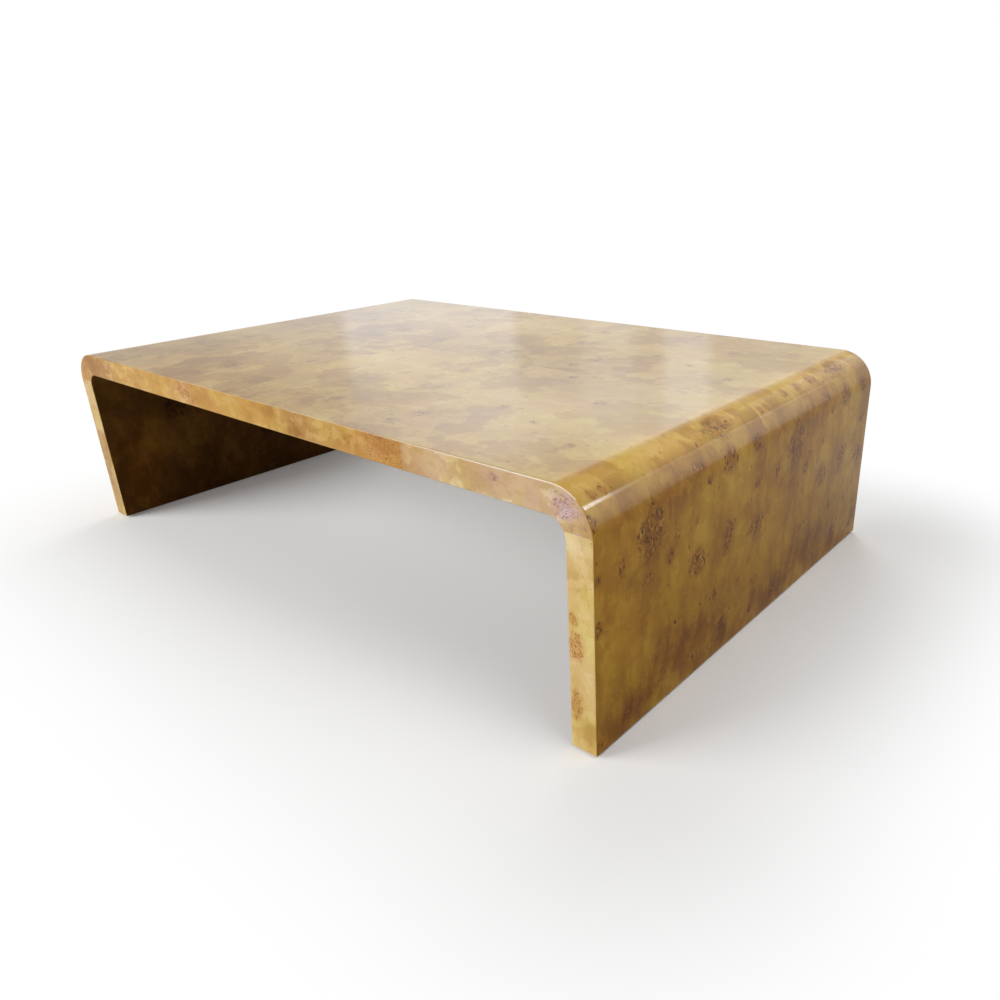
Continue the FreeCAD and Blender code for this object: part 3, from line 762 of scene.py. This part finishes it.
coveRun = stations((slab["underZ"] - slab["innerRadius"] - slab["footZ"], innerFigure["spacing"]),
                   (slab["innerRadius"] * math.pi / 2, innerFigure["coveSpacing"]))
for sideName, side in (("left", -1), ("right", 1)):
    x, z, normalX, normalZ = coveLine(coveRun)
    through = innerFigure["legSlice"] + side
    makeInner(sideName + "_inner_veneer", side * x, z, side * normalX, normalZ, coveRun, through)
levelRun = stations((underHigh.x - underLow.x, innerFigure["spacing"]))
flatRun = np.ones(len(levelRun))
makeInner("underside_veneer", underLow.x + levelRun, slab["underZ"] * flatRun, 0 * flatRun, -flatRun,
          levelRun, innerFigure["underSlice"])
print("inner veneers laid")


# the core, the glides and their nails keep their own meshes

coreLooks = {                   # grain and specks are cycles per metre; plies are layers per metre
    "plywood": {"dark": (0.34, 0.22, 0.11), "light": (0.56, 0.42, 0.26), "grain": (9, 160, 9), "plies": 700},
    "poplar": {"dark": (0.42, 0.33, 0.18), "light": (0.62, 0.53, 0.34), "grain": (140, 140, 9), "plies": 0},
    "nylon": {"dark": (0.60, 0.57, 0.50), "light": (0.70, 0.68, 0.62), "specks": (900, 900, 900)},
    "nail_steel": {"dark": (0.42, 0.42, 0.42), "light": (0.58, 0.58, 0.57), "specks": (1500, 1500, 200)},
}
coreKinds = (("skin", "plywood"), ("nail", "nail_steel"), ("glide", "nylon"), ("", "poplar"))
coreFinish = {
    "toneSpan": (0.3, 0.7),     # noise levels that are quite dark and quite light
    "plyShade": 0.25,           # how far the layers of plywood differ
    "woodRoughness": 0.62,
    "nylonRoughness": 0.38,
    "steelSpan": (-0.6, 2.2),   # noise levels at which the steel would be a mirror and quite dull
    "woodRelief": (0.15, 0.0002),
    "fineRelief": (0.1, 0.0001),
}


def coreWood(name, look):
    # streaked grain between a dark and a light tone, and plywood's layers as a sine across its faces
    material, tree = newMaterial(name)
    place = objectPlace(tree)
    grain = noise(tree, place, look["grain"], 4, 0.6, 0.3)["Fac"]
    tone = stepBetween(tree, grain, *coreFinish["toneSpan"])
    if look["plies"]:
        acrossX = addNode(tree, "ShaderNodeSeparateXYZ", {0: place}).outputs["X"]
        ply = maths(tree, "SINE", times(tree, acrossX, look["plies"] * math.pi))
        shade = plus(tree, times(tree, ply, coreFinish["plyShade"]), 1 - coreFinish["plyShade"])
        tone = times(tree, tone, shade)
    colour = ramp(tree, tone, [(0.0, look["dark"]), (1.0, look["light"])])
    inputs = {"Base Color": colour, "Roughness": coreFinish["woodRoughness"]}
    finishMaterial(tree, inputs, grain, *coreFinish["woodRelief"])
    return material


def mouldedNylon(name, look):
    # fine specks between two off-whites, satin
    material, tree = newMaterial(name)
    speck = noise(tree, objectPlace(tree), look["specks"], 3)["Fac"]
    colour = ramp(tree, speck, list(zip(coreFinish["toneSpan"], (look["dark"], look["light"]))))
    inputs = {"Base Color": colour, "Roughness": coreFinish["nylonRoughness"]}
    finishMaterial(tree, inputs, speck, *coreFinish["fineRelief"])
    return material


def nailSteel(name, look):
    # scuffs drawn out along the nail change its tone and its gloss
    material, tree = newMaterial(name)
    scuff = noise(tree, objectPlace(tree), look["specks"], 3)["Fac"]
    colour = ramp(tree, scuff, list(zip(coreFinish["toneSpan"], (look["dark"], look["light"]))))
    dull = stepBetween(tree, scuff, *coreFinish["steelSpan"])
    inputs = {"Base Color": colour, "Metallic": 1.0, "Roughness": dull}
    finishMaterial(tree, inputs, scuff, *coreFinish["fineRelief"])
    return material


coreMaterials = {kind: coreWood(kind + "_core", coreLooks[kind]) for kind in ("plywood", "poplar")}
coreMaterials["nylon"] = mouldedNylon("moulded_nylon", coreLooks["nylon"])
coreMaterials["nail_steel"] = nailSteel("bright_nail_steel", coreLooks["nail_steel"])
for name, piece in nodes.items():
    if piece.hide_render:
        continue
    finish = next(coreMaterials[kind] for word, kind in coreKinds if word in name)
    for holder in piece.material_slots:
        holder.material = finish
print("core and glides finished")


# studio: floor, world, lamps and camera

studio = {
    "floorHalf": 14.0,
    "whiteFrom": -0.12,         # the floor turns to plain white between these distances from the table
    "whiteTo": 0.50,
    "floorColour": (0.93, 0.93, 0.92, 1),
    "skyLight": 0.28,
    # what the lacquer mirrors besides white, in degrees, each with from, to and softness: windows go by
    # azimuth and elevation, bands by lean towards +Y and tilt up from +X; the last number is what each adds
    "windowTint": (0.86, 0.97, 1.10),
    "windows": [(-90, -60, 6.0, 9.0, 42, 1.0, 1.0, -0.38), (-52, -22, 7.0, 14.0, 24, 2.5, 7.0, 1.17),
                (-88, -12, 8.0, 7.0, 40, 2.0, 14.0, 0.28), (-55, -43.4, 0.5, 8.0, 15, 1.0, 3.0, 0.48),
                (-38.6, -35.0, 0.6, 9.0, 20, 1.0, 4.0, 0.24), (-32.8, -29.6, 0.4, 10.5, 20, 0.8, 3.0, 0.52),
                (-64, -42, 3.0, 16.0, 20, 1.5, 1.5, 0.70)],
    "bands": [(41, 66, 4.0, -6, 54, 27.0, 2.0, 0.9), (41, 62, 4.0, -4, 53, 28.0, 3.0, 1.2),
              (41, 50, 3.0, 2, 50, 24.0, 2.5, 1.1), (30, 68, 5.0, 46, 53, 3.5, 1.0, 1.2),
              (41, 47.0, 2.5, 43.5, 51.5, 2.5, 2.0, 58.0), (30, 72, 6.0, 56, 104, 4.0, 10.0, 1.5)],
    # soft boxes: place, aim and size in metres, brightness, whether the lacquer mirrors it, and spread
    "lamps": {
        "front_key": ((-3.10, -4.43, 2.27), (0, 0, 0.3), (3.84, 2.56), 8.4, True, 180),
        "rear_low": ((-1.45, 3.05, 1.30), (-0.1, 0, 0.1), (2.2, 1.0), 8.5, False, 180),
        "overhead_strip": ((1.12, 0, 1.08), (0.735, 0, 0.395), (1.4, 0.3), 0.63, False, 50),
    },
}


def seenRay(tree):
    # 1 for a ray that shows what it meets: from the camera, mirrored or let through
    rays = addNode(tree, "ShaderNodeLightPath").outputs
    seen = plus(tree, rays["Is Camera Ray"], rays["Is Glossy Ray"])
    return maths(tree, "ADD", seen, rays["Is Transmission Ray"], clamp=True)


def makeFloor():
    # one flat square, white far out and lit plainly near the table
    corner = np.array([[-1, -1], [1, -1], [1, 1], [-1, 1]]) * studio["floorHalf"]
    mesh = bpy.data.meshes.new("studio_floor")
    mesh.from_pydata(np.column_stack([corner, np.zeros(4)]).tolist(), [], [[0, 1, 2, 3]])
    material, tree = newMaterial("pale_floor")
    # distance outside the table's footprint: the length of what each coordinate has beyond its half size
    size = addNode(tree, "ShaderNodeVectorMath", {0: objectPlace(tree)}, operation="ABSOLUTE").outputs[0]
    beyond = added(tree, size, (-slab["halfLength"], -slab["halfDepth"], 0))
    outside = addNode(tree, "ShaderNodeVectorMath", {0: beyond, 1: (0, 0, 0)}, operation="MAXIMUM")
    length = addNode(tree, "ShaderNodeVectorMath", {0: outside.outputs[0]}, operation="LENGTH")
    far = stepBetween(tree, length.outputs["Value"], studio["whiteFrom"], studio["whiteTo"])
    plain = addNode(tree, "ShaderNodeBsdfDiffuse", {"Color": studio["floorColour"]}).outputs[0]
    white = addNode(tree, "ShaderNodeEmission", {"Color": plainTint, "Strength": 1.0}).outputs[0]
    mixed = addNode(tree, "ShaderNodeMixShader", {0: times(tree, far, seenRay(tree)), 1: plain, 2: white})
    addNode(tree, "ShaderNodeOutputMaterial", {"Surface": mixed.outputs[0]})
    mesh.materials.append(material)
    floor = bpy.data.objects.new("studio_floor", mesh)
    scene.collection.objects.link(floor)


def degrees(tree, operation, a, b=0.0):
    # an angle worked out from coordinates, in degrees
    return maths(tree, "DEGREES", maths(tree, operation, a, b))


def makeWorld():
    # white where it is seen, an even sky as light, and windows and bands in what the lacquer mirrors
    world = bpy.data.worlds.new("studio_room")
    world.use_nodes = True
    tree = world.node_tree
    tree.nodes.clear()
    way = addNode(tree, "ShaderNodeTexCoord").outputs["Generated"]
    x, y, z = addNode(tree, "ShaderNodeSeparateXYZ", {0: way}).outputs
    azimuth, rise = degrees(tree, "ARCTAN2", x, y), degrees(tree, "ARCSINE", z)
    lean, tilt = degrees(tree, "ARCSINE", y), degrees(tree, "ARCTAN2", z, x)
    mirrored = 0.0
    for turn, height, shapes in ((azimuth, rise, studio["windows"]), (lean, tilt, studio["bands"])):
        for left, right, sideSoft, low, high, lowSoft, highSoft, gain in shapes:
            inside = gain
            for value, edge, soft in ((turn, left, sideSoft), (turn, right, -sideSoft),
                                      (height, low, lowSoft), (height, high, -highSoft)):
                inside = times(tree, stepBetween(tree, value, edge - soft, edge + soft), inside)
            mirrored = plus(tree, inside, mirrored)
    glossy = addNode(tree, "ShaderNodeLightPath").outputs["Is Glossy Ray"]
    glow = scaled(tree, times(tree, mirrored, glossy), studio["windowTint"])
    shown = added(tree, glow, (1, 1, 1))
    seen = addNode(tree, "ShaderNodeBackground", {"Color": shown, "Strength": 1.0})
    light = addNode(tree, "ShaderNodeBackground", {"Color": plainTint, "Strength": studio["skyLight"]})
    mixed = addNode(tree, "ShaderNodeMixShader", {0: seenRay(tree), 1: light.outputs[0], 2: seen.outputs[0]})
    addNode(tree, "ShaderNodeOutputWorld", {"Surface": mixed.outputs[0]})
    scene.world = world


def addLamp(name, place, aim, size, radiance, mirrored, spread):
    # a rectangular soft box: its power is four times its area times the brightness of its face
    lamp = bpy.data.lights.new(name, "AREA")
    lamp.shape = "RECTANGLE"
    lamp.size, lamp.size_y = size
    lamp.spread = math.radians(spread)
    lamp.energy = 4 * size[0] * size[1] * radiance
    holder = bpy.data.objects.new(name, lamp)
    holder.location = place
    holder.rotation_euler = (Vector(aim) - Vector(place)).to_track_quat("-Z", "Y").to_euler()
    holder.visible_camera = False
    holder.visible_glossy = mirrored
    scene.collection.objects.link(holder)


view = {
    "lens": 28.95, "sensor": 36.0,
    "shift": (-0.0817, 0.0126),
    "place": (1.32938, -1.20612, 0.78291),
    "yaw": -38.974, "pitch": 23.340, "roll": 1.321,
    "reach": 100,               # how far it sees, in metres
}


def makeCamera():
    # yaw from +Y, then the pitch down, then a roll about the view
    yaw, pitch, roll = (math.radians(view[key]) for key in ("yaw", "pitch", "roll"))
    forward = Vector((math.sin(yaw) * math.cos(pitch), math.cos(yaw) * math.cos(pitch), -math.sin(pitch)))
    level = Vector((math.cos(yaw), -math.sin(yaw), 0))
    down = forward.cross(level)
    right = math.cos(roll) * level + math.sin(roll) * down
    up = math.sin(roll) * level - math.cos(roll) * down
    camera = bpy.data.cameras.new("view")
    camera.lens, camera.sensor_width = view["lens"], view["sensor"]
    camera.shift_x, camera.shift_y = view["shift"]
    camera.clip_end = view["reach"]
    holder = bpy.data.objects.new("view", camera)
    turn = Matrix((right, up, -forward)).transposed().to_4x4()
    holder.matrix_world = Matrix.Translation(view["place"]) @ turn
    scene.collection.objects.link(holder)
    scene.camera = holder


makeFloor()
makeWorld()
makeCamera()
for name, lamp in studio["lamps"].items():
    addLamp(name, *lamp)
scene.view_settings.view_transform = "Standard"
print("studio set")
